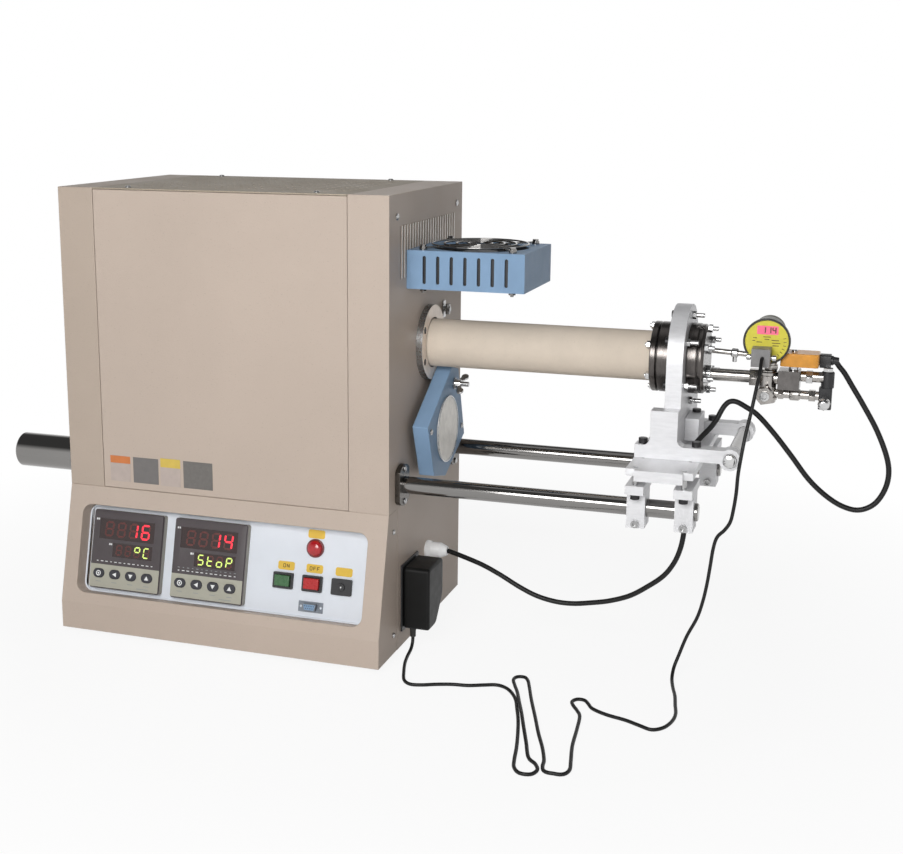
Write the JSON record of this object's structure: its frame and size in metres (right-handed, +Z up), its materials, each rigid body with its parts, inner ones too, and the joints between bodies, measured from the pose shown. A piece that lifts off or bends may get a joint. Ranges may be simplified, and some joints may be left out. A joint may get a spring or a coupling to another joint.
{
  "type": "tube furnace",
  "caption": "Bench tube furnace whose closed work tube slides out of the heated cabinet on guide rods, with a cooling fan, a swinging shutter and a vacuum flange.",
  "frame": {"origin": "on the bench, under the middle of the object's box without its cords", "axes": "+X along the work tube, from the hot cabinet to the vacuum end; +Y from the control panel to the back; +Z up"},
  "size_m": [1.0439, 0.5128, 0.5462],
  "materials": {
    "cabinet_paint": "satin",
    "panel_paint": "satin",
    "blue_paint": "satin",
    "foot_rubber": "matte",
    "controller_plastic": "satin",
    "window_red": "gloss",
    "key_plastic": "satin",
    "black_plastic": "satin",
    "gloss_black": "gloss",
    "lamp_red": "gloss",
    "button_green": "gloss",
    "button_red": "gloss",
    "lock_steel": "polished",
    "zinc": "satin",
    "fibre_board": "matte",
    "element": "matte",
    "core_iron": "matte",
    "chrome": "polished",
    "bearing_steel": "satin",
    "disc_board": "matte",
    "white_nylon": "satin",
    "aluminium": "satin",
    "dark_steel": "satin",
    "stainless": "polished",
    "tube_ceramic": "matte",
    "coil_resin": "satin",
    "cable_jacket": "satin"
  },
  "bodies": {
    "cabinet": {"base_front": "cabinet_paint", "base_tray": "cabinet_paint", "rubber_feet": "foot_rubber", "control_panel": "panel_paint", "controller_left": "controller_plastic", "controller_right": "controller_plastic", "display_windows": "window_red", "switch_bodies": "black_plastic", "alarm_lamp": "lamp_red", "serial_port": "zinc", "shell_left": "cabinet_paint", "shell_right": "cabinet_paint", "front_door": "cabinet_paint", "top_grille": "cabinet_paint", "back_panel": "cabinet_paint", "insulation": "fibre_board", "heating_elements": "element", "thermocouple": "zinc", "power_pack": "core_iron", "rod_bearings": "bearing_steel", "rod_sleeves": "chrome", "port_ring": "bearing_steel", "fan_box": "blue_paint", "fan_frame": "black_plastic", "fan_guard": "chrome", "cabinet_fittings": "zinc", "cable_gland": "white_nylon", "power_adapter": "gloss_black", "gauge_lead_supply": "cable_jacket"},
    "carriage": {"guide_rods": "chrome", "rod_clamps": "aluminium", "clamp_bolts": "dark_steel", "carriage_plate": "aluminium", "side_frames": "aluminium", "arch_plate": "aluminium", "handle_bar": "chrome", "seal_flange": "stainless", "flange_studs": "zinc", "work_tube": "tube_ceramic", "vacuum_pipework": "stainless", "gauge": "black_plastic", "solenoid_coil": "coil_resin", "coil_cable": "cable_jacket", "gauge_lead": "cable_jacket"},
    "shutter": {"shutter_plate": "blue_paint", "shutter_disc": "disc_board"},
    "fan_rotor": {"fan_rotor": "black_plastic"},
    "wing_nut": {"wing_nut": "chrome"},
    "needle_knob": {"needle_knob": "black_plastic"},
    "green_button": {"green_button": "button_green"},
    "red_button": {"red_button": "button_red"},
    "lock_barrel": {"lock_barrel": "lock_steel"},
    "left_key_set": {"left_key_set": "key_plastic"},
    "left_key_shift": {"left_key_shift": "key_plastic"},
    "left_key_down": {"left_key_down": "key_plastic"},
    "left_key_up": {"left_key_up": "key_plastic"},
    "right_key_set": {"right_key_set": "key_plastic"},
    "right_key_shift": {"right_key_shift": "key_plastic"},
    "right_key_down": {"right_key_down": "key_plastic"},
    "right_key_up": {"right_key_up": "key_plastic"}
  },
  "joints": [
    {"name": "carriage_slide", "type": "slide", "parent": "cabinet", "child": "carriage", "axis": [1, 0, 0], "range_m": [0, 0.3], "deforming": ["coil_cable", "gauge_lead"]},
    {"name": "shutter_swing", "type": "hinge", "parent": "cabinet", "child": "shutter", "pos_m": [0.0355, 0.02904, 0.30769], "axis": [1, 0, 0], "range_deg": [-28, 40]},
    {"name": "wing_nut_turn", "type": "hinge", "parent": "cabinet", "child": "wing_nut", "pos_m": [0.0525, 0.02904, 0.30769], "axis": [1, 0, 0], "continuous": true},
    {"name": "fan_spin", "type": "hinge", "parent": "cabinet", "child": "fan_rotor", "pos_m": [0.0865, -0.0085, 0.458], "axis": [0, 0, 1], "continuous": true},
    {"name": "needle_valve_turn", "type": "hinge", "parent": "carriage", "child": "needle_knob", "pos_m": [0.48, -0.02, 0.323], "axis": [0, -1, 0], "range_deg": [0, 720]},
    {"name": "lock_turn", "type": "hinge", "parent": "cabinet", "child": "lock_barrel", "pos_m": [-0.0395, -0.1323, 0.09032], "axis": [0, -0.9701, 0.2425], "range_deg": [-90, 0]},
    {"name": "green_button_press", "type": "slide", "parent": "cabinet", "child": "green_button", "axis": [0, 0.9701, -0.2425], "range_m": [0, 0.003], "stiffness_N_per_m": 600, "springref_m": -0.001},
    {"name": "red_button_press", "type": "slide", "parent": "cabinet", "child": "red_button", "axis": [0, 0.9701, -0.2425], "range_m": [0, 0.003], "stiffness_N_per_m": 600, "springref_m": -0.001},
    {"name": "left_key_set_press", "type": "slide", "parent": "cabinet", "child": "left_key_set", "axis": [0, 0.9701, -0.2425], "range_m": [0, 0.0006], "stiffness_N_per_m": 800, "springref_m": -0.0005},
    {"name": "left_key_shift_press", "type": "slide", "parent": "cabinet", "child": "left_key_shift", "axis": [0, 0.9701, -0.2425], "range_m": [0, 0.0006], "stiffness_N_per_m": 800, "springref_m": -0.0005},
    {"name": "left_key_down_press", "type": "slide", "parent": "cabinet", "child": "left_key_down", "axis": [0, 0.9701, -0.2425], "range_m": [0, 0.0006], "stiffness_N_per_m": 800, "springref_m": -0.0005},
    {"name": "left_key_up_press", "type": "slide", "parent": "cabinet", "child": "left_key_up", "axis": [0, 0.9701, -0.2425], "range_m": [0, 0.0006], "stiffness_N_per_m": 800, "springref_m": -0.0005},
    {"name": "right_key_set_press", "type": "slide", "parent": "cabinet", "child": "right_key_set", "axis": [0, 0.9701, -0.2425], "range_m": [0, 0.0006], "stiffness_N_per_m": 800, "springref_m": -0.0005},
    {"name": "right_key_shift_press", "type": "slide", "parent": "cabinet", "child": "right_key_shift", "axis": [0, 0.9701, -0.2425], "range_m": [0, 0.0006], "stiffness_N_per_m": 800, "springref_m": -0.0005},
    {"name": "right_key_down_press", "type": "slide", "parent": "cabinet", "child": "right_key_down", "axis": [0, 0.9701, -0.2425], "range_m": [0, 0.0006], "stiffness_N_per_m": 800, "springref_m": -0.0005},
    {"name": "right_key_up_press", "type": "slide", "parent": "cabinet", "child": "right_key_up", "axis": [0, 0.9701, -0.2425], "range_m": [0, 0.0006], "stiffness_N_per_m": 800, "springref_m": -0.0005}
  ]
}
